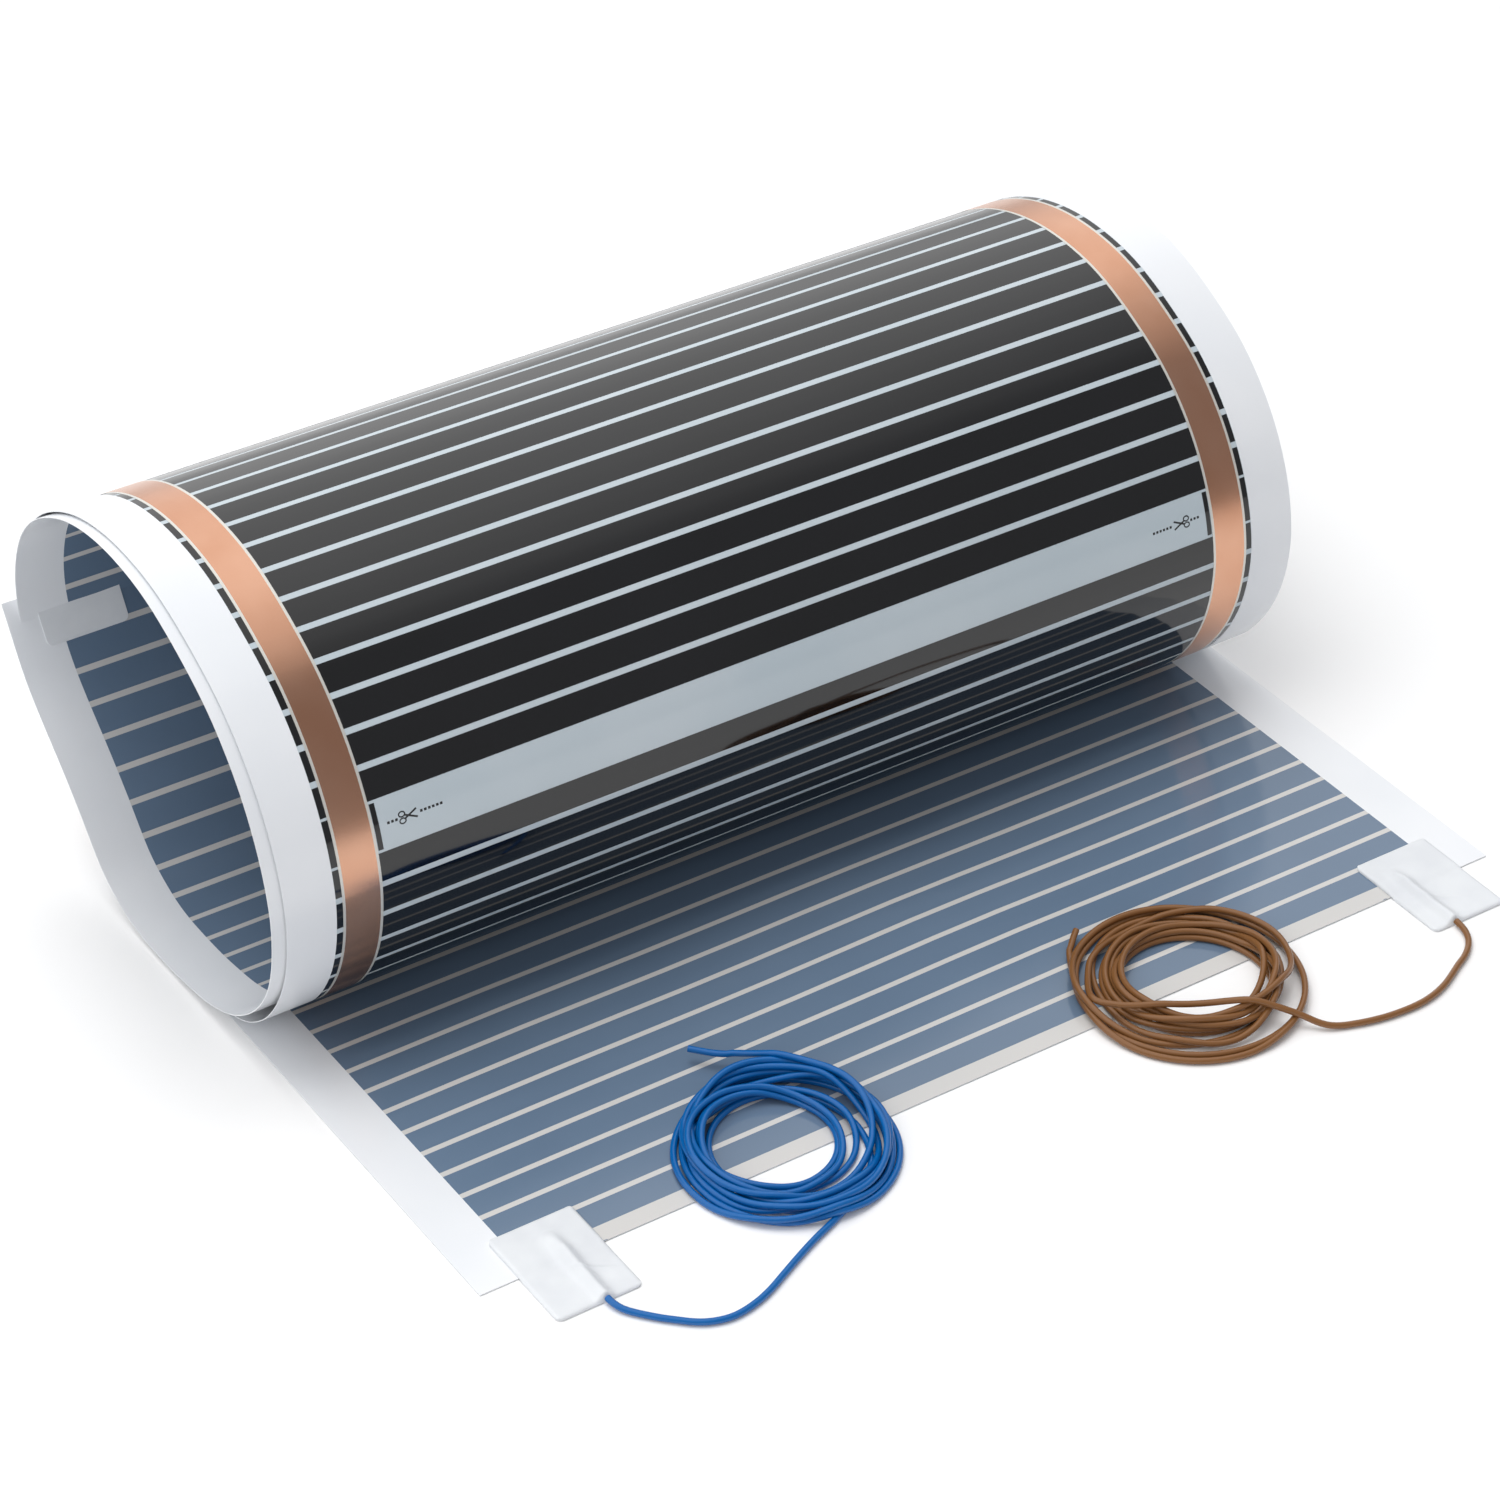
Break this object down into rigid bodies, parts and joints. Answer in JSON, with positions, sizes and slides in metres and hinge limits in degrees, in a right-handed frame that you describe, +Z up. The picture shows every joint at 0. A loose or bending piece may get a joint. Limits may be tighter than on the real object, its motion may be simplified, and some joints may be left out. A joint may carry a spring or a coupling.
{
  "type": "underfloor heating film roll",
  "caption": "Loose roll of carbon underfloor heating film with copper side strips, a flat tail on the floor, insulating pads and two coiled lead wires.",
  "frame": {"origin": "on the floor, under the middle of the bounding box of everything but the lead wires", "axes": "+X along the film's width and the roll's axis, +Y from the front edge with the pads towards the roll, +Z up"},
  "size_m": [0.509, 0.4339, 0.193],
  "materials": {
    "film": "glossy clear and milky polyester laminate",
    "carbon": "printed carbon paste under a clear film",
    "copper": "bare rolled copper strip, laminated in",
    "pad": "soft white insulating patch",
    "clip": "tinned metal",
    "blue_wire": "satin PVC insulation",
    "brown_wire": "satin PVC insulation"
  },
  "bodies": {
    "root": {"film": "film", "carbon_layer": "carbon", "busbar_left": "copper", "busbar_right": "copper", "front_pad_left": "pad", "front_pad_right": "pad", "clip_left": "clip", "clip_right": "clip", "end_pad_left": "pad", "end_pad_right": "pad", "blue_lead": "blue_wire", "blue_coil": "blue_wire", "blue_tail": "blue_wire", "brown_lead": "brown_wire", "brown_coil": "brown_wire", "brown_tail": "brown_wire"}
  },
  "joints": []
}
